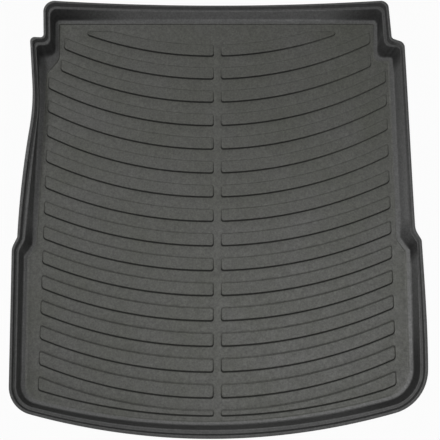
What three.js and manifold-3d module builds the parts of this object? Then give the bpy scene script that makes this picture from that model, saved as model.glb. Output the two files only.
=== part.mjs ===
// A liner for the boot of an estate car: one sheet of soft plastic, formed into a shallow tray.
// Sizes are in millimetres. X runs across the car, Y forwards to the seats and Z up.
// The origin is under the middle of the tray, on the boot floor.
import * as THREE from "three";
import Module from "manifold-3d";

const { clamp, lerp, smoothstep } = THREE.MathUtils;

// The sheet, and the whole tray over its lip before the edges are rounded
const sheet = 3;
const length = 1100;
const width = 1018;
const height = 42;

// The section of the rim, from the lip's edge in to the floor; lip and ledge fall outwards
const lipWidth = 6.5;
const lipFall = 1.5;
const lipBevel = 1;
const stepRun = 1.5;
const stepDrop = 8.5;
const ledgeWidth = 8;
const ledgeFall = 1.5;
const wallRun = 4;
const wallFootHeight = 6;
const borderWidth = 11;
const borderHeight = 4.8;
const borderEdgeRun = 1;
const lipFillet = 1.6;
const stepFillet = 1.2;
const ledgeFillet = 2.6;
const wallFillet = 6;

// The plan: how far the sides stand in between the wheel arches, and the notches beside the seats.
// The soft rim sinks outwards along the right side, between the loading edge and the notch.
const archInsetLeft = 12;
const archInsetRight = 14.5;
const archStepY = -67;
const archStepLength = 26.5;
const archShiftRight = 20.5;
const seatWidth = 898;
const seatSplayLeft = 4.5;
const seatSplayRight = -7;
const notchWidthLeft = 35;
const notchWidthRight = 33;
const notchDepthLeft = 100;
const notchDepthRight = 103;
const notchRiseLeft = 2;
const notchRiseRight = -7.5;
const waistInset = 42;
const waistY = 266;
const sideInsetRight = 4;
const sideBowLeft = 6;
const sideBowRight = 4;
const sideSinkRight = 12;
const notchSinkRight = 4;

// The loading edge is one long curve, a little further in on the right.
// The seat edge bows in, and its soft rim sinks back in the middle.
const loadingBow = 77;
const loadingFootBow = 68;
const loadingSkew = 6;
const loadingInsetLeft = 7.5;
const seatBow = 5.5;
const seatSink = 18;

// The radii of the corners of the plan, at the lip and at the foot of the wall
const seatRadiiLeft = [28, 14];
const notchInnerRadiiLeft = [8, 25];
const notchOuterRadiiLeft = [11, 9];
const waistRadii = [500, 500];
const archRadiiLeft = [12, 14];
const sideRadiiLeft = [40, 14];
const loadingRadiiLeft = [70, 48];
const loadingRadiiRight = [115, 85];
const sideRadiiRight = [14, 14];
const archRadiiRight = [45, 16];
const notchOuterRadiiRight = [18, 9];
const notchInnerRadiiRight = [9, 26];
const seatRadiiRight = [20, 14];

// The way in from the lip's corner to the corner of the wall's foot: the walls lean unevenly
const seatLeanLeft = [23, -38];
const notchInnerLeanLeft = [21.5, -34];
const notchOuterLeanLeft = [15, -36];
const waistLean = [2, 20];
const archLeanLeft = [27, -15];
const sideLeanLeft = [19, -18.5];
const loadingLeanLeft = [17, 13];
const loadingLeanRight = [-20.5, 17];
const sideLeanRight = [-22, -24];
const archLeanRight = [-31, -20];
const notchOuterLeanRight = [-22.5, -29.5];
const notchInnerLeanRight = [-29.5, -37];
const seatLeanRight = [-19.5, -38];

// The border is broader along the left side, from the notch to the wheel arch
const notchBorderShift = [10, -40];
const waistBorderShift = [5, 0];

// The ribs: wedges that rise to a nose along their loading-edge side, in two columns
const ribPitch = 62.45;
const ribWidth = 30.5;
const firstRibInset = 136;
const thinnestRib = 9;
const ribGap = 20;
const ribGapX = -1;
const ribSagX = -17;
const ribRadiusSeats = 950;
const ribRadiusLoading = 1150;
const lastRibRadius = 1490;
const ribEndMargin = 68;
const ribEndMarginSeats = 46;
const ribShorteningStart = 68;
const ribShorteningEnd = 37;
const ribNose = 3;
const ribTail = 1;
const ribDraft = 0.4;
const ribCorner = 5;
const seatMargin = 19;
const loadingMargin = 13;
const shortestRibEnd = 9;

const front = -length / 2;
const back = length / 2;
const side = width / 2;
const rimWidth = lipWidth + stepRun + ledgeWidth + wallRun;

// One corner of the plan: where the lip turns, the radii there, the way in to the wall's foot,
// the points along its arc, how far its lip sinks, the edge that follows and how much further that
// edge's lip sinks in its middle, and how much further in the border ends.
function corner(lip, [lipRadius, footRadius], lean, arcSteps, options = {}) {
  const at = new THREE.Vector2(...lip);
  const foot = new THREE.Vector2(...lean).add(at);
  const { lipBow = 0, footBow = 0, sink = 0, edgeSink = 0, steps = 1, borderShift = [0, 0] } = options;
  const shift = new THREE.Vector2(...borderShift);
  return { lip: at, lipRadius, foot, footRadius, arcSteps, lipBow, footBow, sink, edgeSink, steps, shift };
}

const seatLeft = -seatWidth / 2;
const seatRight = seatWidth / 2;
const notchLeft = seatLeft - notchWidthLeft;
const notchRight = seatRight + notchWidthRight;
const notchLeftY = back - notchDepthLeft;
const notchRightY = back - notchDepthRight;
const archLeft = archInsetLeft - side;
const archRight = side - archInsetRight;
const archEndY = archStepY - archStepLength;
const sideRight = side - sideInsetRight;
const loadingLeft = loadingInsetLeft - side;
const loadingY = front + loadingBow;
const outerNotch = { borderShift: notchBorderShift };
const waist = { lipBow: sideBowLeft, steps: 4, borderShift: waistBorderShift };
const loadingEdge = { lipBow: loadingBow, footBow: loadingFootBow, steps: 14 };
const rightSide = { lipBow: sideBowRight, steps: 4 };
const sunkSide = { sink: sideSinkRight };
const sunkNotch = { sink: notchSinkRight };
const seatEdge = { lipBow: -seatBow, edgeSink: seatSink, steps: 10 };

// The corners run anticlockwise from the seat edge's left end, first down the left side
const corners = [
  corner([seatLeft - seatSplayLeft, back], seatRadiiLeft, seatLeanLeft, 4),
  corner([seatLeft, notchLeftY], notchInnerRadiiLeft, notchInnerLeanLeft, 5),
  corner([notchLeft, notchLeftY + notchRiseLeft], notchOuterRadiiLeft, notchOuterLeanLeft, 4, outerNotch),
  corner([waistInset - side, waistY], waistRadii, waistLean, 3, waist),
  corner([archLeft, archStepY], archRadiiLeft, archLeanLeft, 3),
  corner([-side, archEndY], sideRadiiLeft, sideLeanLeft, 3),
  corner([loadingLeft, loadingY - loadingSkew], loadingRadiiLeft, loadingLeanLeft, 6, loadingEdge),
  corner([sideRight, loadingY + loadingSkew], loadingRadiiRight, loadingLeanRight, 7, rightSide),
  corner([side, archEndY + archShiftRight], sideRadiiRight, sideLeanRight, 3, sunkSide),
  corner([archRight, archStepY + archShiftRight], archRadiiRight, archLeanRight, 3, sunkSide),
  corner([notchRight, notchRightY + notchRiseRight], notchOuterRadiiRight, notchOuterLeanRight, 4, sunkNotch),
  corner([seatRight, notchRightY], notchInnerRadiiRight, notchInnerLeanRight, 5),
  corner([seatRight + seatSplayRight, back], seatRadiiRight, seatLeanRight, 4, seatEdge),
];

const after = (list, i) => list[(i + 1) % list.length];
const before = (list, i) => list[(i + list.length - 1) % list.length];

// An edge from one corner to the next, bowed outwards in a parabola
function bowedEdge(from, to, bow) {
  const chord = to.clone().sub(from);
  const out = new THREE.Vector2(chord.y, -chord.x).normalize();
  return {
    length: chord.length(),
    point: (s) => from.clone().addScaledVector(chord, s).addScaledVector(out, 4 * bow * s * (1 - s)),
    tangent: (s) => chord.clone().addScaledVector(out, 4 * bow * (1 - 2 * s)).normalize(),
  };
}

const turnBetween = (a, b) => Math.acos(clamp(a.dot(b), -1, 1));

// The way each corner of the wall's foot moves when the outline grows by one millimetre
const footEdges = corners.map((c, i) => bowedEdge(c.foot, after(corners, i).foot, c.footBow));
const growth = footEdges.map((edge, i) => {
  const a = before(footEdges, i).tangent(1);
  const b = edge.tangent(0);
  return new THREE.Vector2(a.y + b.y, -a.x - b.x).divideScalar(1 + a.dot(b));
});
const turnsLeft = footEdges.map((edge, i) => before(footEdges, i).tangent(1).cross(edge.tangent(0)) > 0);

// The arc that rounds a corner between two edges, and how much of each edge it takes
function roundCorner(inEdge, outEdge, radius, steps) {
  const turn = turnBetween(inEdge.tangent(1), outEdge.tangent(0));
  const room = 0.45 * Math.min(inEdge.length, outEdge.length);
  const reach = Math.min(radius * Math.tan(turn / 2), room);
  const inShare = 1 - reach / inEdge.length;
  const outShare = reach / outEdge.length;
  const start = inEdge.point(inShare);
  const end = outEdge.point(outShare);
  const a = inEdge.tangent(inShare);
  const b = outEdge.tangent(outShare);
  const swept = turnBetween(a, b);
  const handle = (2 * start.distanceTo(end) * Math.tan(swept / 4)) / (3 * Math.sin(swept / 2));
  const nearStart = start.clone().addScaledVector(a, handle);
  const nearEnd = end.clone().addScaledVector(b, -handle);
  const arc = new THREE.CubicBezierCurve(start, nearStart, nearEnd, end);
  return { points: arc.getPoints(steps), inShare, outShare };
}

// The plan curve at one place of the section: a distance outside the wall's foot, a height,
// and the height of the upper surface there, on which the sinking of an edge depends.
// Where the rim is wider or narrower than its own section, the wall leans out or in with height.
function planRing([out, z, upperZ]) {
  const lean = Math.max(0, (z - wallFootHeight) / (height - wallFootHeight));
  const rise = Math.max(0, (upperZ - wallFootHeight) / (height - wallFootHeight));
  const share = clamp(out / rimWidth, 0, 1);
  const inside = clamp(-out / borderWidth, 0, 1);
  const spots = corners.map((c, i) => {
    const upright = c.foot.clone().addScaledVector(growth[i], rimWidth);
    const leaning = c.lip.clone().sub(upright).multiplyScalar(lean);
    const straight = c.foot.clone().addScaledVector(growth[i], out);
    return straight.add(leaning).addScaledVector(c.shift, inside);
  });
  const bows = corners.map((c) => lerp(c.footBow, c.lipBow, share));
  const edges = spots.map((spot, i) => bowedEdge(spot, after(spots, i), bows[i]));
  const arcs = corners.map((c, i) => {
    const tighter = Math.min(out, 0) * (turnsLeft[i] ? 1 : -1);
    const radius = Math.max(lerp(c.footRadius, c.lipRadius, share) + tighter, 2);
    return roundCorner(before(edges, i), edges[i], radius, c.arcSteps);
  });
  return corners.flatMap((c, i) => {
    const points = arcs[i].points.map((p) => new THREE.Vector3(p.x, p.y, z - c.sink * rise));
    for (let step = 1; step < c.steps; step += 1) {
      const along = step / c.steps;
      const p = edges[i].point(lerp(arcs[i].outShare, after(arcs, i).inShare, along));
      const ends = lerp(c.sink, after(corners, i).sink, smoothstep(along, 0, 1));
      points.push(new THREE.Vector3(p.x, p.y, z - (ends + c.edgeSink * 4 * along * (1 - along)) * rise));
    }
    return points;
  });
}

// The rim's upper surface as corners of its section, from the lip's edge in to the floor:
// the distance outside the wall's foot, the height, the fillet and its number of steps.
const ledgeHeight = height - stepDrop;
const sectionCorners = [
  { at: [rimWidth, height - lipFall], fillet: 0, steps: 0 },
  { at: [rimWidth - lipWidth, height], fillet: lipFillet, steps: 1 },
  { at: [wallRun + ledgeWidth, ledgeHeight - ledgeFall], fillet: stepFillet, steps: 1 },
  { at: [wallRun, ledgeHeight], fillet: ledgeFillet, steps: 2 },
  { at: [0, wallFootHeight], fillet: wallFillet, steps: 2 },
  { at: [-borderWidth, borderHeight], fillet: 0, steps: 0 },
  { at: [-borderWidth - borderEdgeRun, sheet], fillet: 0, steps: 0 },
].map(({ at, fillet, steps }) => ({ at: new THREE.Vector2(...at), fillet, steps }));

// The lower surface keeps one sheet's thickness under the upper one
function underside(list) {
  const normalAfter = (i) => {
    const way = i + 1 < list.length ? list[i + 1].at.clone().sub(list[i].at) : new THREE.Vector2(-1, 0);
    return new THREE.Vector2(-way.y, way.x).normalize();
  };
  return list.map(({ at, fillet, steps }, i) => {
    const a = normalAfter(Math.max(i - 1, 0));
    const b = normalAfter(i);
    const shift = a.clone().add(b).multiplyScalar(sheet / (1 + a.dot(b)));
    const bendsAway = a.cross(b) > 0;
    const own = fillet > 0 ? Math.max(fillet + (bendsAway ? -sheet : sheet), lipBevel) : 0;
    return { at: at.clone().add(shift), fillet: own, steps: Math.min(steps, 2) };
  });
}

// A section line with its fillets, as points
function filletedLine(list) {
  return list.flatMap(({ at, fillet, steps }, i) => {
    if (steps === 0 || fillet === 0) return [at.toArray()];
    const inWay = at.clone().sub(list[i - 1].at);
    const outWay = list[i + 1].at.clone().sub(at);
    const turn = turnBetween(inWay.clone().normalize(), outWay.clone().normalize());
    const room = 0.45 * Math.min(inWay.length(), outWay.length());
    const reach = Math.min(fillet * Math.tan(turn / 2), room);
    const start = at.clone().addScaledVector(inWay.normalize(), -reach);
    const end = at.clone().addScaledVector(outWay.normalize(), reach);
    return new THREE.QuadraticBezierCurve(start, at, end).getPoints(steps).map((p) => p.toArray());
  });
}

const [lipCorner, ...upperRest] = filletedLine(sectionCorners);
const lipEdge = [
  [lipCorner[0] - lipBevel, lipCorner[1]],
  [lipCorner[0], lipCorner[1] - lipBevel],
];
const upperLine = [...upperRest.reverse(), ...lipEdge].map(([out, z]) => [out, z, z]);
const lowerLine = filletedLine(underside(sectionCorners)).map(([out, z]) => [out, z, z + sheet]);
const section = [...upperLine, ...lowerLine];

// Closes a stack of matching rings into a solid, with flat caps on the first and the last
function solidFromRings(rings) {
  const count = rings[0].length;
  const positions = rings.flat().flatMap((p) => [p.x, p.y, p.z]);
  const faces = [];
  for (let k = 0; k + 1 < rings.length; k += 1) {
    for (let j = 0; j < count; j += 1) {
      const a = k * count + j;
      const b = k * count + ((j + 1) % count);
      faces.push([a, a + count, b + count], [a, b + count, b]);
    }
  }
  const cap = (ring) => THREE.ShapeUtils.triangulateShape(ring.map((p) => new THREE.Vector2(p.x, p.y)), []);
  const lastStart = (rings.length - 1) * count;
  faces.push(...cap(rings[0]));
  faces.push(...cap(rings.at(-1)).map(([a, b, c]) => [a + lastStart, c + lastStart, b + lastStart]));
  const geometry = new THREE.BufferGeometry();
  geometry.setAttribute("position", new THREE.Float32BufferAttribute(positions, 3));
  geometry.setIndex(faces.flat());
  return geometry;
}

// How far an arc of the ribs has risen at x, and the loading-edge end of the ribs' field
const arcSag = (radius, x) => radius - Math.sqrt(radius ** 2 - (x - ribSagX) ** 2);
const floorFront = loadingY - loadingFootBow + corners[6].foot.y - corners[6].lip.y;
const lastRibY = floorFront + borderWidth + borderEdgeRun + loadingMargin;
const seatLimit = corners[0].foot.y - borderWidth - borderEdgeRun - seatMargin;
const firstRibY = back - firstRibInset;
const ribRows = 1 + Math.floor((firstRibY + ribWidth - thinnestRib - lastRibY) / ribPitch);

// Where the ribs end at their outer side: they grow shorter just before the notches
const ribReach = side - ribEndMargin;
const ribReachSeats = seatRight - ribEndMarginSeats;
function reachAt(y) {
  const run = y - corners[1].foot.y + ribShorteningStart;
  return lerp(ribReach, ribReachSeats, clamp(run / (ribShorteningStart - ribShorteningEnd), 0, 1));
}

// The outline of one rib as a function of its share along from the gap and across from its nose.
// Rows further from the seats have flatter arcs, and the last follows the loading edge.
function ribShape(row, sign) {
  const radius = lerp(ribRadiusSeats, ribRadiusLoading, smoothstep(row, 4, 9));
  const startY = firstRibY - row * ribPitch;
  const lower = (x) => Math.max(startY + arcSag(radius, x), lastRibY + arcSag(lastRibRadius, x));
  const upper = (x) => Math.min(startY + ribWidth + arcSag(radius, x), seatLimit);
  const middle = ribGapX + sign * ribGap / 2;
  let reach = ribReach;
  for (let round = 0; round < 4; round += 1) reach = reachAt(lower(ribGapX + sign * reach));
  const pinch = seatLimit - shortestRibEnd - startY;
  const pinchX = ribSagX + sign * Math.sqrt(Math.max(radius ** 2 - (radius - pinch) ** 2, 0));
  const end = ribGapX + sign * Math.min(reach, Math.abs(pinchX - ribGapX));
  return (along, across, inset) => {
    const x = lerp(middle + sign * inset, end - sign * inset, along);
    const y = lerp(lower(x) + inset, upper(x) - inset, across);
    return new THREE.Vector2(x, y);
  };
}

// A rib's outline as shares along and across, with its corners cut off or left sharp
const ribSteps = 6;
function ribOutline(cutAlong, cutAcross) {
  const between = (v, from, to) =>
    Array.from({ length: ribSteps - 1 }, (_, i) => [lerp(from, to, (i + 1) / ribSteps), v]);
  const nose = [[cutAlong, 0], ...between(0, 0, 1), [1 - cutAlong, 0]];
  const tail = [[1 - cutAlong, 1], ...between(1, 1, 0), [cutAlong, 1]];
  if (cutAlong === 0) return [...nose, ...tail];
  return [...nose, [1, cutAcross], [1, 1 - cutAcross], ...tail, [0, 1 - cutAcross], [0, cutAcross]];
}
const cutOutline = ribOutline(ribCorner / (ribReach - ribGap / 2), ribCorner / ribWidth);
const sharpOutline = ribOutline(0, 0);

// A rib's solid, on a base plane and up to its sloping top, with its outline moved in by an inset
function ribSolid(row, sign, outline, base, inset) {
  const shape = ribShape(row, sign);
  const order = sign > 0 ? outline : outline.toReversed();
  const ring = (level) =>
    order.map(([along, across]) => {
      const rise = level * lerp(ribNose, ribTail, across);
      const spot = shape(along, across, inset + ribDraft * rise);
      return new THREE.Vector3(spot.x, spot.y, base + rise);
    });
  return solidFromRings([ring(1), ring(-0.5)]);
}

const wasm = await Module();
wasm.setup();

function toSolid(geometry) {
  return new wasm.Manifold(
    new wasm.Mesh({
      numProp: 3,
      vertProperties: new Float32Array(geometry.getAttribute("position").array),
      triVerts: new Uint32Array(geometry.index.array),
    }),
  );
}

function toGeometry(solid) {
  const mesh = solid.getMesh();
  const geometry = new THREE.BufferGeometry();
  geometry.setAttribute("position", new THREE.BufferAttribute(mesh.vertProperties, 3));
  geometry.setIndex(new THREE.BufferAttribute(mesh.triVerts, 1));
  geometry.computeVertexNormals();
  return geometry;
}

// The tray, its ribs raised above the floor, and their hollows pressed in from beneath
const hollowInset = sheet * (Math.hypot(1, ribDraft) - ribDraft);
let liner = toSolid(solidFromRings(section.map(planRing)));
for (let row = 0; row < ribRows; row += 1) {
  for (const sign of [-1, 1]) {
    liner = liner.add(toSolid(ribSolid(row, sign, cutOutline, sheet, 0)));
    liner = liner.subtract(toSolid(ribSolid(row, sign, sharpOutline, 0, hollowInset)));
  }
}

const plastic = new THREE.MeshStandardMaterial({ color: 0x50514c, roughness: 0.6, metalness: 0 });
const linerMesh = new THREE.Mesh(toGeometry(liner), plastic);
linerMesh.name = "boot_liner";

// The middle of the tray's box is over the origin
const middle = new THREE.Box3().setFromObject(linerMesh).getCenter(new THREE.Vector3());
linerMesh.position.set(-middle.x, -middle.y, 0);

const bootLiner = new THREE.Group();
bootLiner.add(linerMesh);

export default bootLiner;
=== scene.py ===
# A moulded plastic liner for the boot of an estate car, on a white studio floor.
# Lengths in the shape's own part are in millimetres; everything in Blender is in metres.
import math

import bpy
import bmesh
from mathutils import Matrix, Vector
from mathutils.geometry import delaunay_2d_cdt


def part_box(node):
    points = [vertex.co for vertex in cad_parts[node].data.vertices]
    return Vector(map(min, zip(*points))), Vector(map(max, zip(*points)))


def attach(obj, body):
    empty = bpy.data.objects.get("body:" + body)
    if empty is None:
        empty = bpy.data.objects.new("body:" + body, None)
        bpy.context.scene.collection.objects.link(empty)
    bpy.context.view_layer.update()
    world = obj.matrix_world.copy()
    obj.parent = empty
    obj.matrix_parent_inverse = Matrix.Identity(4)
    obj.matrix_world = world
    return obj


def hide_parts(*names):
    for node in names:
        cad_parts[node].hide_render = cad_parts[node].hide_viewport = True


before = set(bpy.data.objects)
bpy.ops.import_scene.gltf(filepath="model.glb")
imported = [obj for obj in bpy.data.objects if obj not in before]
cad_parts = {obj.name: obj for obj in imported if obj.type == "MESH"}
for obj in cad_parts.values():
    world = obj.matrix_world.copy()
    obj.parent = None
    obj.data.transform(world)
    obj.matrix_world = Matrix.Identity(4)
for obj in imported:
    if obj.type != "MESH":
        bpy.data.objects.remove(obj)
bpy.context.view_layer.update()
MM = 0.001

# The sheet and the whole tray
SHEET = 3.0
LENGTH = 1100.0
HEIGHT = 42.0
FRONT = -LENGTH / 2
BACK = LENGTH / 2

# The rim's section, from the lip's edge in to the floor
LIP_WIDTH = 6.5
LIP_FALL = 1.5
LIP_ROUND = 1.0
STEP_RUN = 1.5
STEP_DROP = 8.5
LEDGE_WIDTH = 8.0
LEDGE_FALL = 1.5
WALL_RUN = 4.0
EASED_RUN = 6.0         # how far the right side's wall spreads into its ledge
WALL_FOOT_HEIGHT = 6.0
BORDER_WIDTH = 11.0
BORDER_HEIGHT = 4.8
BORDER_EDGE_RUN = 1.0
BORDER_LINE = 1.2       # the width of the dark line on the border's edge
FLAT_GUARD = 1.2        # a flat strip inside the border keeps the floor's shading level
FLOOR_RUN = 6.0         # the floor beyond the section's last corner, for its fillet
BORDER_SLOPE = (WALL_FOOT_HEIGHT - BORDER_HEIGHT) / BORDER_WIDTH
RIM_WIDTH = LIP_WIDTH + STEP_RUN + LEDGE_WIDTH + WALL_RUN
LEDGE_HEIGHT = HEIGHT - STEP_DROP

# Its fillets: radius and number of steps
LIP_FILLET = (1.6, 4)
STEP_FILLET = (1.2, 4)
LEDGE_FILLET = (2.6, 6)
WALL_FILLET = (6.0, 8)
BORDER_FILLET = (1.0, 4)
SHARP = (0, 0)
LIP_STEPS = 4
ROOM = 0.45             # the most of an edge that one rounding takes up

# The plan
LOADING_BOW = 77.0
LOADING_FOOT_BOW = 68.0
LOADING_Y = FRONT + LOADING_BOW
SEAT_BOW = 5.5
SEAT_SINK = 18.0
SIDE_SINK = 12.0
NOTCH_SINK = 4.0
STATION = 14.0          # about how far apart the stations along the rim are
ARC_STEPS = 12
SMALLEST_RADIUS = 2

# Where in the section shade and highlight are painted into the colour, as distances outside the
# wall's foot. A soft band fades in over its first pair and out over its second.
WALL_BAND = ((-4, 0), (WALL_RUN - 1, WALL_RUN + 2))
STRIP_BAND = ((-BORDER_WIDTH - 1, -BORDER_WIDTH + 1), (-5, 0))
LINE_BAND = (-BORDER_WIDTH - BORDER_EDGE_RUN - 0.1, -BORDER_WIDTH + 0.5)
STEP_BAND = (WALL_RUN + LEDGE_WIDTH - 0.5, RIM_WIDTH - LIP_WIDTH - 0.2)
NEUTRAL_FROM = (-BORDER_WIDTH - BORDER_EDGE_RUN, -BORDER_WIDTH + 2)
# How much shade is painted in the step under the lip, less on the eased right side, and on that
# side's wall
STEP_SHADE = 0.6
EASED_STEP_SHADE = 0.15
EASED_WALL_SHADE = 0.1

# Ribs
RIB_ROWS = 16
RIB_PITCH = 62.45
RIB_WIDTH = 30.5
FIRST_RIB_Y = BACK - 136.0
RIB_GAP = 20.0
RIB_GAP_X = -1.0
RIB_SAG_X = -17.0
RIB_RADIUS_SEATS = 950.0
RIB_RADIUS_LOADING = 1150.0
RIB_RADIUS_ROWS = (4, 9)
LAST_RIB_RADIUS = 1490.0
RIB_REACH = 441.0
RIB_REACH_SEATS = 403.0
RIB_SHORTENING = (68.0, 37.0)
REACH_PASSES = 4
RIB_NOSE = 3.0
RIB_TAIL = 1.0
RIB_CORNER = 6.0
RIB_CORNER_STEPS = 5
RIB_STATIONS = 34
SEAT_MARGIN = 19.0
LOADING_MARGIN = 13.0
SHORTEST_RIB_END = 9.0
HOLLOW_INSET = SHEET * 0.75

# The groove round a rib. Pairs called fade are shares of the rib's length or width.
GROOVE_DEPTH = 1.2
GROOVE_AT_TAIL = (0.12, 0.5)    # its depth at the tail: at the seats and at the loading edge
GROOVE_WIDENING = 1.25          # at the loading edge
LOADING_ROWS = (5, 12)          # the rows over which it changes
TAIL_AT_GAP = 0.45              # the tail's groove beside the gap between the columns
TAIL_FADE = (0.05, 0.6)
END_GROOVE = 0.4                # its width at a rib's ends
END_THINNING = 0.35             # how much shallower it is there
END_FADES = ((0.05, 0.35), (0.65, 0.95))
FAINT_NOSE = 0.5                # the nose's groove at the right of the rows near the seats
FAINT_ROWS = (4, 9)
FAINT_FADE = (0.3, 1.0)

# How a rib's side climbs out of the groove: inset from its outline, the share of the rib's
# height, the share of the groove's depth, and how much shade is painted there
RIB_SIDE = [
    (-3.4, 0.0, 0.0, 0.0), (-2.9, 0.0, 0.1, 0.15), (-2.3, 0.0, 0.5, 0.6), (-1.7, 0.0, 0.9, 0.95),
    (-1.0, 0.0, 1.0, 1.0), (-0.4, 0.0, 0.8, 1.0), (0.0, 0.1, 0.3, 0.95), (0.35, 0.4, 0.0, 0.75),
    (0.8, 0.75, 0.0, 0.35), (1.4, 0.95, 0.0, 0.08), (2.2, 1.0, 0.0, 0.0), (3.4, 1.0, 0.0, 0.0),
]
HOLLOW_SIDE = [(inset, climb, 0.0, 0.0) for inset, climb, groove, _ in RIB_SIDE if groove == 0]

# The plastic: noises as scale, detail and roughness, and colours from their low to their high end
CLOUD_NOISE = (7.0, 4.0, 0.55)
MOTTLE_NOISE = (80.0, 3.0, 0.6)
SHEEN_NOISE = (130.0, 3.0, 0.6)
SPECKLE_NOISE = (210.0, 3.0, 0.65)
GRAIN_NOISE = (600.0, 3.0, 0.6)
NOISE_RANGE = (0.3, 0.7)
FLOOR_TONES = ((0.0615, 0.064, 0.052), (0.0745, 0.075, 0.069))
# The rim's tones are greyer than the floor's and darker; the darker level is painted shade on the
# walls
RIM_TONES = ((0.0585, 0.0592, 0.0582), (0.0675, 0.0677, 0.0672))
MOTTLE = (0.88, 1.12)
SPECKLE = (0.66, 1.34)
# How the painted shading scales the colour: a painted highlight at -1, painted shade at 1
PAINTED_SHADING_TONES = (1.9, 1.0, 0.12)     # where the painted shading is -1, 0 and 1
SHEEN = (0.46, 0.66)
# how much rougher the plastic is where shade is painted
ROUGHER_UNDER_PAINTED_SHADE = 0.4
SPECULAR = 0.65
GRAIN_STRENGTH = 0.3
GRAIN_HEIGHT = 0.0004

# The studio, in metres and watts
BACKDROP = [(5.0, 0.0), (5.5, 0.07), (5.85, 0.3), (6.0, 0.8), (6.0, 3.2)]   # radius and height
BACKDROP_SIDES = 96
FLOOR_DROP = 0.0005
FLOOR_GREY = 0.8
BACKGROUND_SHARE = 0.97     # how far the background is lifted to plain white
WORLD_STRENGTH = 0.05
SOFTBOX_PLACE = Vector((0.6, -0.5, 3.0))
SOFTBOX_SIDE = 1.5
SOFTBOX_POWER = 39.0
SUN_WAY = Vector((0.5, -0.3, -0.8))
SUN_STRENGTH = 1.05
SUN_ANGLE = math.radians(25)

# The camera: what it aims at in mm, then its tilt, distance, lens and sensor
CAMERA_AIM = Vector((5.66, -20.0, 0))
TILT = math.radians(6.83)
DISTANCE = 1.558
LENS = 50.0
SENSOR = 36.0


def lerp(a, b, t):
    return a + (b - a) * t


def clamp(v, low, high):
    return max(low, min(high, v))


def smoothstep(v, low, high):
    t = clamp((v - low) / (high - low), 0, 1)
    return t * t * (3 - 2 * t)


def soft_band(v, fade_in, fade_out):
    return smoothstep(v, *fade_in) * (1 - smoothstep(v, *fade_out))


def hard_band(v, low, high):
    return 1.0 if low < v < high else 0.0


def dot(a, b):
    return (a.conjugate() * b).real


def cross(a, b):
    return (a.conjugate() * b).imag


def unit(a):
    return a / abs(a)


def turn_between(a, b):
    return math.acos(clamp(dot(a, b), -1, 1))


# Plan points are complex numbers, x + iy. A corner of the plan has the lip's corner and its
# radius, and the way in to the wall's foot and the radius there. It may also have:
#   lip_bow, foot_bow     how far the edge after it bows out, at the lip and at the foot
#   sink, edge_sink       how far the lip dips at the corner, and midway along the edge after it
#   pad                   how far the border's inner corner moves beyond the border's width
#   shade, shade_reach    how much shade is painted on the wall, and how far along it that fades out
#   slack                 how many times wider the border's edge runs out
#   ease                  1 where the wall spreads into its ledge
#   strip, line           how much shade is painted on the border and its edge, below 0 a painted highlight
def corner(lip, lip_radius, inward, foot_radius, lip_bow=0.0, foot_bow=0.0, sink=0.0,
           edge_sink=0.0, pad=0j, shade=0.0, shade_reach=60.0, slack=1.0, ease=0.0, strip=0.0,
           line=0.0):
    return {"lip": lip, "foot": lip + inward, "lip_radius": lip_radius, "foot_radius": foot_radius,
            "lip_bow": lip_bow, "foot_bow": foot_bow, "sink": sink, "edge_sink": edge_sink,
            "pad": pad, "shade": shade, "shade_reach": shade_reach, "slack": slack, "ease": ease,
            "strip": strip, "line": line}


# From the seats' left end down the left side, along the loading edge and up the right side
CORNERS = [
    corner(-453.5 + 550j, 28, 23 - 38j, 14, shade=1.0, shade_reach=220, line=0.6),
    corner(-449 + 450j, 8, 21.5 - 34j, 25, shade=1.0, strip=0.3, line=0.3),
    corner(-484 + 452j, 11, 15 - 36j, 9, pad=10 - 40j, shade=1.0, strip=0.3),
    corner(-467 + 266j, 500, 2 + 20j, 500, lip_bow=6, pad=5 + 0j, shade=0.28, shade_reach=400,
           strip=-0.05),
    corner(-497 - 67j, 12, 27 - 15j, 14, shade=0.9, slack=2),
    corner(-509 - 93.5j, 40, 19 - 18.5j, 14, shade=0.5, shade_reach=400, slack=4, strip=-0.15),
    corner(-501.5 - 479j, 70, 17 + 13j, 48, lip_bow=LOADING_BOW, foot_bow=LOADING_FOOT_BOW,
           shade=0.4, shade_reach=700, slack=4, strip=-0.15),
    corner(505 - 467j, 115, -20.5 + 17j, 85, lip_bow=4, shade=0.85, shade_reach=170, slack=4,
           strip=-0.2),
    corner(509 - 73j, 14, -22 - 24j, 14, sink=SIDE_SINK, shade=1.0, slack=3, ease=1.0,
           strip=-0.22),
    corner(494.5 - 46.5j, 45, -31 - 20j, 16, sink=SIDE_SINK, shade=0.6, shade_reach=45, slack=2,
           ease=1.0, strip=-0.05),
    corner(482 + 439.5j, 18, -22.5 - 29.5j, 9, sink=NOTCH_SINK, shade=0.95, shade_reach=50,
           slack=2, ease=1.0),
    corner(449 + 447j, 9, -29.5 - 37j, 26, shade=0.9, shade_reach=50),
    corner(442 + 550j, 20, -19.5 - 38j, 14, lip_bow=-SEAT_BOW, edge_sink=SEAT_SINK, shade=0.85,
           shade_reach=150, strip=-0.05, line=0.6),
]
FOLLOWING = CORNERS[1:] + CORNERS[:1]
SEAT_CORNER, NOTCH_CORNER, LOADING_CORNER = CORNERS[0], CORNERS[1], CORNERS[6]


class BowedEdge:
    def __init__(self, start, end, bow):
        self.start = start
        self.chord = end - start
        self.out = -1j * unit(self.chord)
        self.bow = bow
        self.length = abs(self.chord)

    def point(self, s):
        return self.start + self.chord * s + self.out * (4 * self.bow * s * (1 - s))

    def tangent(self, s):
        return unit(self.chord + self.out * (4 * self.bow * (1 - 2 * s)))


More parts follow.
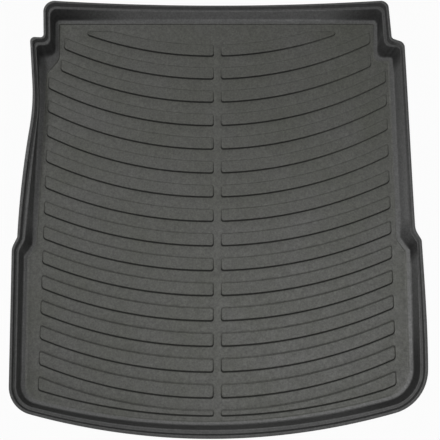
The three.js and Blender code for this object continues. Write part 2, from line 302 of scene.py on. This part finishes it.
foot_edges = [BowedEdge(c["foot"], after["foot"], c["foot_bow"])
              for c, after in zip(CORNERS, FOLLOWING)]
growth = []         # how each corner of the foot moves when its edges move out by 1
turns_left = []
for i, edge in enumerate(foot_edges):
    a = foot_edges[i - 1].tangent(1)
    b = edge.tangent(0)
    growth.append(-1j * (a + b) / (1 + dot(a, b)))
    turns_left.append(cross(a, b) > 0)
edge_steps = [max(1, round(abs(after["lip"] - c["lip"]) / STATION))
              for c, after in zip(CORNERS, FOLLOWING)]


# Points round a corner between two edges, and the shares of the edges where it starts and ends
def round_corner(in_edge, out_edge, radius):
    turn = turn_between(in_edge.tangent(1), out_edge.tangent(0))
    room = ROOM * min(in_edge.length, out_edge.length)
    reach = min(radius * math.tan(turn / 2), room)
    in_share = 1 - reach / in_edge.length
    out_share = reach / out_edge.length
    start = in_edge.point(in_share)
    end = out_edge.point(out_share)
    a = in_edge.tangent(in_share)
    b = out_edge.tangent(out_share)
    swept = turn_between(a, b)
    handle = (2 * abs(end - start) * math.tan(swept / 4)) / (3 * math.sin(swept / 2))
    p1 = start + a * handle
    p2 = end - b * handle
    points = []
    for k in range(ARC_STEPS + 1):
        t = k / ARC_STEPS
        u = 1 - t
        points.append(u ** 3 * start + 3 * u * u * t * p1 + 3 * u * t * t * p2 + t ** 3 * end)
    return points, in_share, out_share


def corner_shade(c, distance):
    return c["shade"] * (1 - smoothstep(distance, 0, c["shade_reach"]))


def wall_share(z):
    return max(0.0, (z - WALL_FOOT_HEIGHT) / (HEIGHT - WALL_FOOT_HEIGHT))


# The edges and rounded corners of the ring that lies out from the wall's foot
def ring_outline(out, eased_out, lean):
    share = clamp(out / RIM_WIDTH, 0, 1)
    inside = clamp(-out / BORDER_WIDTH, 0, 1)
    spots = []
    for c, grow in zip(CORNERS, growth):
        upright = c["foot"] + grow * RIM_WIDTH
        own = lerp(out, eased_out, c["ease"])
        if out < -BORDER_WIDTH:
            own = (out + BORDER_WIDTH) * c["slack"] - BORDER_WIDTH
        spots.append(c["foot"] + grow * own + (c["lip"] - upright) * lean + c["pad"] * inside)
    edges = [BowedEdge(spot, after, lerp(c["foot_bow"], c["lip_bow"], share))
             for spot, after, c in zip(spots, spots[1:] + spots[:1], CORNERS)]
    arcs = []
    for i, c in enumerate(CORNERS):
        tighter = min(out, 0) * (1 if turns_left[i] else -1)
        radius = max(lerp(c["foot_radius"], c["lip_radius"], share) + tighter, SMALLEST_RADIUS)
        arcs.append(round_corner(edges[i - 1], edges[i], radius))
    return edges, arcs


# One ring round the tray, from its place in the steep section and in the eased one:
# its points, and the shade or highlight painted on each of them
def plan_ring(steep, eased):
    out, z, upper_z = steep
    eased_out, eased_z, _ = eased
    rise = wall_share(upper_z)
    edges, arcs = ring_outline(out, eased_out, wall_share(z))
    on_top = 1.0 if upper_z == z else 0.0
    wall = on_top * soft_band(out, *WALL_BAND)
    strip = on_top * soft_band(out, *STRIP_BAND)
    line = on_top * hard_band(out, *LINE_BAND)
    step = on_top * hard_band(out, *STEP_BAND)

    # Shade painted on the wall and in the step, and shade or highlight painted on the border and
    # its edge
    def darkness(shade, ease, strip_shade, line_shade):
        step_shade = step * lerp(STEP_SHADE, EASED_STEP_SHADE, ease)
        return max(shade * wall, step_shade) + (strip_shade * strip + line_shade * line)

    ring = []
    shades = []
    for i, (c, after) in enumerate(zip(CORNERS, FOLLOWING)):
        points, _, leaves_at = arcs[i]
        reaches_next_at = arcs[(i + 1) % len(arcs)][1]
        level = lerp(z, eased_z, c["ease"]) - c["sink"] * rise
        ring.extend((p.real, p.imag, level) for p in points)
        shades.extend([darkness(c["shade"], c["ease"], c["strip"], c["line"])] * len(points))
        for k in range(1, edge_steps[i]):
            along = k / edge_steps[i]
            blend = smoothstep(along, 0, 1)
            p = edges[i].point(lerp(leaves_at, reaches_next_at, along))
            sink = lerp(c["sink"], after["sink"], blend)
            sink += c["edge_sink"] * 4 * along * (1 - along)
            ease = lerp(c["ease"], after["ease"], along)
            ring.append((p.real, p.imag, lerp(z, eased_z, ease) - sink * rise))
            # shade painted on the wall, fading along it from each corner
            shade = max(corner_shade(c, edges[i].length * along),
                        corner_shade(after, edges[i].length * (1 - along)),
                        EASED_WALL_SHADE * ease)
            shades.append(darkness(shade, ease, lerp(c["strip"], after["strip"], blend),
                                   lerp(c["line"], after["line"], blend)))
    return ring, shades


# The section as corners: distance outside the wall's foot, height, fillet and its steps
def corners_of_section(wall_run):
    return [
        (RIM_WIDTH, HEIGHT - LIP_FALL, *SHARP),
        (RIM_WIDTH - LIP_WIDTH, HEIGHT, *LIP_FILLET),
        (WALL_RUN + LEDGE_WIDTH, LEDGE_HEIGHT - LEDGE_FALL, *STEP_FILLET),
        (wall_run, LEDGE_HEIGHT, *LEDGE_FILLET),
        (0, WALL_FOOT_HEIGHT, *WALL_FILLET),
        (-BORDER_WIDTH + BORDER_LINE, BORDER_HEIGHT + BORDER_SLOPE * BORDER_LINE, *SHARP),
        (-BORDER_WIDTH, BORDER_HEIGHT, *BORDER_FILLET),
        (-BORDER_WIDTH - BORDER_EDGE_RUN, SHEET, *BORDER_FILLET),
    ]


# The same corners a sheet's thickness below
def underside(section):
    ways = [complex(b[0] - a[0], b[1] - a[1]) for a, b in zip(section, section[1:])] + [-1 + 0j]
    normals = [unit(complex(-w.imag, w.real)) for w in ways]
    line = []
    for i, (out, z, fillet, steps) in enumerate(section):
        a = normals[max(i - 1, 0)]
        b = normals[i]
        offset = (a + b) * (SHEET / (1 + dot(a, b)))
        own = 0
        if fillet > 0:
            own = max(fillet + (-SHEET if cross(a, b) > 0 else SHEET), LIP_ROUND)
        line.append((out + offset.real, z + offset.imag, own, steps))
    return line


def filleted(line):
    points = []
    for i, (out, z, fillet, steps) in enumerate(line):
        if not steps:
            points.append((out, z))
            continue
        at = complex(out, z)
        in_way = at - complex(*line[i - 1][:2])
        following = complex(*line[i + 1][:2]) if i + 1 < len(line) else at - FLOOR_RUN
        out_way = following - at
        turn = turn_between(unit(in_way), unit(out_way))
        reach = min(fillet * math.tan(turn / 2), ROOM * min(abs(in_way), abs(out_way)))
        start = at - unit(in_way) * reach
        end = at + unit(out_way) * reach
        for k in range(steps + 1):
            t = k / steps
            p = (1 - t) ** 2 * start + 2 * t * (1 - t) * at + t * t * end
            points.append((p.real, p.imag))
    return points


# The section from the floor up over the lip and back beneath: distance outside the wall's foot,
# height, and the height of the top side there
def whole_section(wall_run):
    corners = corners_of_section(wall_run)
    upper = filleted(corners)
    lower = filleted(underside(corners))
    upper.append((upper[-1][0] - FLAT_GUARD, SHEET))
    lower.append((lower[-1][0] - FLAT_GUARD, 0.0))
    lip_out, lip_z = upper.pop(0)
    lip_round = []
    for k in range(LIP_STEPS + 1):
        angle = math.pi / 2 * k / LIP_STEPS
        lip_round.append((lip_out - LIP_ROUND + LIP_ROUND * math.sin(angle),
                          lip_z - LIP_ROUND + LIP_ROUND * math.cos(angle)))
    top = [(out, z, z) for out, z in upper[::-1] + lip_round]
    return top + [(out, z, z + SHEET) for out, z in lower]


# The ribs' field
FLOOR_FRONT = LOADING_Y - LOADING_FOOT_BOW + (LOADING_CORNER["foot"] - LOADING_CORNER["lip"]).imag
LAST_RIB_Y = FLOOR_FRONT + BORDER_WIDTH + BORDER_EDGE_RUN + LOADING_MARGIN
SEAT_LIMIT = SEAT_CORNER["foot"].imag - BORDER_WIDTH - BORDER_EDGE_RUN - SEAT_MARGIN
NOTCH_Y = NOTCH_CORNER["foot"].imag


def arc_sag(radius, x):
    return radius - math.sqrt(radius ** 2 - (x - RIB_SAG_X) ** 2)


def reach_at(y):
    start, end = RIB_SHORTENING
    return lerp(RIB_REACH, RIB_REACH_SEATS, clamp((y - NOTCH_Y + start) / (start - end), 0, 1))


# Where shares along and across a rib lie in the plan, its length, and its width at the outer end
def rib_shape(row, sign):
    radius = lerp(RIB_RADIUS_SEATS, RIB_RADIUS_LOADING, smoothstep(row, *RIB_RADIUS_ROWS))
    start_y = FIRST_RIB_Y - row * RIB_PITCH

    def low(x):
        return max(start_y + arc_sag(radius, x), LAST_RIB_Y + arc_sag(LAST_RIB_RADIUS, x))

    def high(x):
        return min(start_y + RIB_WIDTH + arc_sag(radius, x), SEAT_LIMIT)

    reach = RIB_REACH
    for _ in range(REACH_PASSES):
        reach = reach_at(low(RIB_GAP_X + sign * reach))
    pinch = SEAT_LIMIT - SHORTEST_RIB_END - start_y
    pinch_x = RIB_SAG_X + sign * math.sqrt(max(radius ** 2 - (radius - pinch) ** 2, 0))
    end = RIB_GAP_X + sign * min(reach, abs(pinch_x - RIB_GAP_X))
    gap_end = RIB_GAP_X + sign * RIB_GAP / 2

    def spot(along, across, inset):
        at_end = inset if inset > 0 else inset * END_GROOVE
        x = lerp(gap_end + sign * at_end, end - sign * at_end, along)
        return x, lerp(low(x) + inset, high(x) - inset, across)

    return spot, abs(end - gap_end), high(end) - low(end)


# A loop round a rib: shares along and across, with rounded corners. It ends with the middle of
# the gap end and the corner after it.
def rib_loop(run, end_width):
    loop = []

    def arc(cu, cv, ru, rv, start):
        for k in range(RIB_CORNER_STEPS + 1):
            angle = start + math.pi / 2 * k / RIB_CORNER_STEPS
            loop.append((cu + ru * math.cos(angle), cv + rv * math.sin(angle)))

    ru = RIB_CORNER / run
    rv = RIB_CORNER / RIB_WIDTH
    rv_end = min(RIB_CORNER / end_width, ROOM)
    for k in range(1, RIB_STATIONS):
        loop.append((lerp(ru, 1 - ru, k / RIB_STATIONS), 0))
    arc(1 - ru, rv_end, ru, rv_end, -math.pi / 2)
    loop.append((1, 0.5))
    arc(1 - ru, 1 - rv_end, ru, rv_end, 0)
    for k in range(RIB_STATIONS - 1, 0, -1):
        loop.append((lerp(ru, 1 - ru, k / RIB_STATIONS), 1))
    arc(ru, 1 - rv, ru, rv, math.pi / 2)
    loop.append((0, 0.5))
    arc(ru, rv, ru, rv, math.pi)
    return loop


mesh = bpy.data.meshes.new("liner")
bm = bmesh.new()
# Per point: the shade (above 0) or highlight (below 0) painted into the colour, and the share of
# the rim's tone
painted_shading_layer = bm.verts.layers.float.new("painted_shading")
rim_layer = bm.verts.layers.float.new("rim")


def add_ring(points, painted_shading_values, rim=0.0):
    ring = [bm.verts.new(Vector(p) * MM) for p in points]
    for v, value in zip(ring, painted_shading_values):
        v[painted_shading_layer] = value
        v[rim_layer] = rim
    return ring


def bridge(a, b, flip=False):
    n = len(a)
    for j in range(n):
        quad = [a[j], b[j], b[(j + 1) % n], a[(j + 1) % n]]
        bm.faces.new(quad[::-1] if flip else quad)


# Fills the flat between an outer loop and the holes in it
def cap(loops, up):
    flat = [v for loop in loops for v in loop]
    starts = [0]
    for loop in loops:
        starts.append(starts[-1] + len(loop))
    outlines = [list(range(a, b)) for a, b in zip(starts, starts[1:])]
    plan = [v.co.to_2d() for v in flat]
    _, _, triangles, owners, _, faces_of = delaunay_2d_cdt(plan, [], outlines, 2, 1e-7)
    for triangle, parents in zip(triangles, faces_of):
        if list(parents) != [0]:
            continue
        verts = [flat[owners[i][0]] for i in triangle]
        turn = (verts[1].co - verts[0].co).cross(verts[2].co - verts[0].co).z
        bm.faces.new(verts if (turn > 0) == up else verts[::-1])


# Closes a rib with rungs across it, from its gap end to its outer end
def add_rungs(loop, flip):
    n = len(loop)
    gap_end = n - RIB_CORNER_STEPS - 2
    for k in range(n // 2):
        ends = [loop[(gap_end + step) % n] for step in (k, k + 1, -k - 1, -k)]
        face = list(dict.fromkeys(ends))
        if len(face) > 2:
            bm.faces.new(face[::-1] if flip else face)


# One rib from above or from beneath; returns the loop where it meets the flat
def add_rib(row, sign, base, extra_inset, profile):
    spot, run, end_width = rib_shape(row, sign)
    at_loading = smoothstep(row, *LOADING_ROWS)
    tail = lerp(*GROOVE_AT_TAIL, at_loading)
    wide = lerp(1.0, GROOVE_WIDENING, at_loading)
    faint = 1 - smoothstep(row, *FAINT_ROWS) if sign > 0 else 0.0
    levels = []
    for inset, climb, groove, dark in profile:
        ring = []
        painted_shading_values = []
        for along, across in rib_loop(run, end_width):
            x, y = spot(along, across, inset * (wide if inset < 0 else 1) + extra_inset)
            nose = lerp(1.0, FAINT_NOSE, faint * smoothstep(along, *FAINT_FADE))
            near_gap = lerp(TAIL_AT_GAP, 1.0, smoothstep(along, *TAIL_FADE))
            thin_end = 1 - END_THINNING * soft_band(across, *END_FADES)
            depth = lerp(nose, tail * near_gap, across) * thin_end
            rise = climb * lerp(RIB_NOSE, RIB_TAIL, across)
            ring.append((x, y, base + (rise - groove * GROOVE_DEPTH * wide * depth)))
            # shade is painted along the groove, as deep as the groove is
            painted_shading_values.append(dark * depth)
        levels.append(add_ring(ring[::sign], painted_shading_values[::sign]))
    from_above = base > 0
    for a, b in zip(levels, levels[1:]):
        bridge(a, b, from_above)
    add_rungs(levels[-1][::sign], (sign > 0) != from_above)
    return levels[0]


sections = zip(whole_section(WALL_RUN), whole_section(WALL_RUN + EASED_RUN))
rings = [add_ring(*plan_ring(steep, eased), smoothstep(steep[0], *NEUTRAL_FROM))
         for steep, eased in sections]
for a, b in zip(rings, rings[1:]):
    bridge(a, b)

top_holes = []
low_holes = []
for row in range(RIB_ROWS):
    for sign in (-1, 1):
        top_holes.append(add_rib(row, sign, SHEET, 0.0, RIB_SIDE))
        low_holes.append(add_rib(row, sign, 0.0, HOLLOW_INSET, HOLLOW_SIDE))
cap([rings[0]] + top_holes, True)
cap([rings[-1]] + low_holes, False)

# Centre the fine mesh on the CAD model's box, and keep it inside
low_box, high_box = (Vector(v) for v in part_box("boot_liner"))
low_mesh = Vector([min(v.co[i] for v in bm.verts) for i in range(3)])
high_mesh = Vector([max(v.co[i] for v in bm.verts) for i in range(3)])
shift = (low_box + high_box - low_mesh - high_mesh) / 2
shift.z = 0
middle = (low_box + high_box) / 2
middle.z = 0
fit = [min(1, (high_box[i] - low_box[i]) / (high_mesh[i] - low_mesh[i])) for i in range(3)]
for v in bm.verts:
    v.co = [middle[i] + (v.co[i] + shift[i] - middle[i]) * fit[i] for i in range(3)]
bm.to_mesh(mesh)
bm.free()
mesh.shade_smooth()

liner = bpy.data.objects.new("liner", mesh)
bpy.context.scene.collection.objects.link(liner)
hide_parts("boot_liner")
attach(liner, "root")


class Nodes:
    def __init__(self, name):
        self.material = bpy.data.materials.new(name)
        self.material.use_nodes = True
        self.tree = self.material.node_tree

    def new(self, kind, **values):
        node = self.tree.nodes.new(kind)
        for name, value in values.items():
            setattr(node, name, value)
        return node

    # Links an output to an input, or sets the input to a plain value
    def feed(self, value, socket):
        if isinstance(value, bpy.types.NodeSocket):
            self.tree.links.new(value, socket)
        else:
            socket.default_value = value

    def maths(self, operation, *values):
        node = self.new("ShaderNodeMath", operation=operation)
        for value, socket in zip(values, node.inputs):
            self.feed(value, socket)
        return node.outputs[0]

    def attribute(self, name):
        return self.new("ShaderNodeAttribute", attribute_name=name).outputs["Fac"]

    def map_range(self, value, source, target):
        node = self.new("ShaderNodeMapRange")
        self.feed(value, node.inputs["Value"])
        for name, number in zip(("From Min", "From Max", "To Min", "To Max"), (*source, *target)):
            node.inputs[name].default_value = number
        return node.outputs["Result"]

    def noise(self, coords, scale, detail, roughness):
        node = self.new("ShaderNodeTexNoise")
        self.feed(coords, node.inputs["Vector"])
        node.inputs["Scale"].default_value = scale
        node.inputs["Detail"].default_value = detail
        node.inputs["Roughness"].default_value = roughness
        return node.outputs["Fac"]

    # Stops are a position and a colour, or a position and a grey, the ends first
    def ramp(self, value, *stops):
        node = self.new("ShaderNodeValToRGB")
        self.feed(value, node.inputs["Fac"])
        elements = node.color_ramp.elements
        for i, (position, colour) in enumerate(stops):
            element = elements[i] if i < 2 else elements.new(position)
            element.position = position
            element.color = (*(colour if isinstance(colour, tuple) else (colour,) * 3), 1)
        return node.outputs["Color"]

    def mixed(self, blend, share, a, b):
        node = self.new("ShaderNodeMix", data_type="RGBA", blend_type=blend)
        self.feed(share, node.inputs["Factor"])
        colours_in = [socket for socket in node.inputs if socket.type == "RGBA"]
        self.feed(a, colours_in[0])
        self.feed(b, colours_in[1])
        return next(socket for socket in node.outputs if socket.type == "RGBA")


def plastic():
    nodes = Nodes("liner_plastic")
    shader = nodes.tree.nodes["Principled BSDF"]
    coords = nodes.new("ShaderNodeTexCoord").outputs["Object"]
    painted_shading = nodes.attribute("painted_shading")

    def toned(value, tones):
        return nodes.ramp(value, *zip(NOISE_RANGE, tones))

    clouds = nodes.noise(coords, *CLOUD_NOISE)
    # The painted shading scales the colour: a painted highlight below 0, painted shade above
    centred = nodes.map_range(painted_shading, (-1, 1), (0, 1))
    lightest, plain, darkest = PAINTED_SHADING_TONES
    # the rim and border take the greyer rim tones, whose darker level is painted shade
    colour = nodes.mixed("MIX", nodes.attribute("rim"), toned(clouds, FLOOR_TONES),
                         toned(clouds, RIM_TONES))
    for factor in (toned(nodes.noise(coords, *MOTTLE_NOISE), MOTTLE),
                   toned(nodes.noise(coords, *SPECKLE_NOISE), SPECKLE),
                   nodes.ramp(centred, (0, lightest), (1, darkest), (0.5, plain))):
        colour = nodes.mixed("MULTIPLY", 1.0, colour, factor)
    nodes.feed(colour, shader.inputs["Base Color"])

    sheen = nodes.map_range(nodes.noise(coords, *SHEEN_NOISE), NOISE_RANGE, SHEEN)
    # Rougher where shade is painted, smoother where a highlight is painted
    roughness = nodes.maths("MULTIPLY_ADD", painted_shading, ROUGHER_UNDER_PAINTED_SHADE, sheen)
    nodes.feed(roughness, shader.inputs["Roughness"])
    shader.inputs["Specular IOR Level"].default_value = SPECULAR

    grain = nodes.new("ShaderNodeBump")
    grain.inputs["Strength"].default_value = GRAIN_STRENGTH
    grain.inputs["Distance"].default_value = GRAIN_HEIGHT
    nodes.feed(nodes.noise(coords, *GRAIN_NOISE), grain.inputs["Height"])
    nodes.feed(grain.outputs["Normal"], shader.inputs["Normal"])
    return nodes.material


# Plain white to the camera and in reflections and transmission, pale grey to all other light
def studio_white():
    nodes = Nodes("studio_white")
    nodes.tree.nodes.remove(nodes.tree.nodes["Principled BSDF"])
    diffuse = nodes.new("ShaderNodeBsdfDiffuse")
    diffuse.inputs["Color"].default_value = (FLOOR_GREY, FLOOR_GREY, FLOOR_GREY, 1)
    glow = nodes.new("ShaderNodeEmission")
    glow.inputs["Strength"].default_value = 1.0
    rays = nodes.new("ShaderNodeLightPath").outputs
    seen = nodes.maths("MAXIMUM", rays["Is Camera Ray"], rays["Is Glossy Ray"])
    seen = nodes.maths("MAXIMUM", seen, rays["Is Transmission Ray"])
    mix = nodes.new("ShaderNodeMixShader")
    nodes.feed(nodes.maths("MULTIPLY", seen, BACKGROUND_SHARE), mix.inputs["Fac"])
    nodes.feed(diffuse.outputs[0], mix.inputs[1])
    nodes.feed(glow.outputs[0], mix.inputs[2])
    nodes.feed(mix.outputs[0], nodes.tree.nodes["Material Output"].inputs["Surface"])
    return nodes.material


# A round floor that curves up into a backdrop
def studio_floor():
    points = []
    faces = [tuple(range(BACKDROP_SIDES))]
    for radius, height in BACKDROP:
        for k in range(BACKDROP_SIDES):
            angle = math.tau * k / BACKDROP_SIDES
            points.append((radius * math.cos(angle), radius * math.sin(angle), height))
    for level in range(len(BACKDROP) - 1):
        for k in range(BACKDROP_SIDES):
            a = level * BACKDROP_SIDES + k
            b = level * BACKDROP_SIDES + (k + 1) % BACKDROP_SIDES
            faces.append((a, b, b + BACKDROP_SIDES, a + BACKDROP_SIDES))
    shape = bpy.data.meshes.new("studio_floor")
    shape.from_pydata(points, [], faces)
    shape.shade_smooth()
    shape.materials.append(studio_white())
    return shape


mesh.materials.append(plastic())
floor = bpy.data.objects.new("studio_floor", studio_floor())
floor.location.z = -FLOOR_DROP
bpy.context.scene.collection.objects.link(floor)

# World and lamps
world = bpy.data.worlds.new("studio")
bpy.context.scene.world = world
world.use_nodes = True
world.node_tree.nodes["Background"].inputs["Color"].default_value = (1, 1, 1, 1)
world.node_tree.nodes["Background"].inputs["Strength"].default_value = WORLD_STRENGTH


def hang(lamp, way):
    thing = bpy.data.objects.new(lamp.name, lamp)
    thing.rotation_euler = way.to_track_quat("-Z", "Y").to_euler()
    bpy.context.scene.collection.objects.link(thing)
    return thing


softbox = bpy.data.lights.new("overhead", "AREA")
softbox.shape = "SQUARE"
softbox.size = SOFTBOX_SIDE
softbox.energy = SOFTBOX_POWER
hang(softbox, -SOFTBOX_PLACE).location = SOFTBOX_PLACE
sun = bpy.data.lights.new("from_the_left", "SUN")
sun.energy = SUN_STRENGTH
sun.angle = SUN_ANGLE
hang(sun, SUN_WAY)

# Camera
camera_data = bpy.data.cameras.new("camera")
camera_data.lens = LENS
camera_data.sensor_width = SENSOR
camera = bpy.data.objects.new("camera", camera_data)
aim = CAMERA_AIM * MM + shift
camera.location = aim + Vector((0, -math.sin(TILT), math.cos(TILT))) * DISTANCE
camera.rotation_euler = (TILT, 0, 0)
bpy.context.scene.collection.objects.link(camera)
bpy.context.scene.camera = camera

scene = bpy.context.scene
scene.view_settings.view_transform = "Standard"
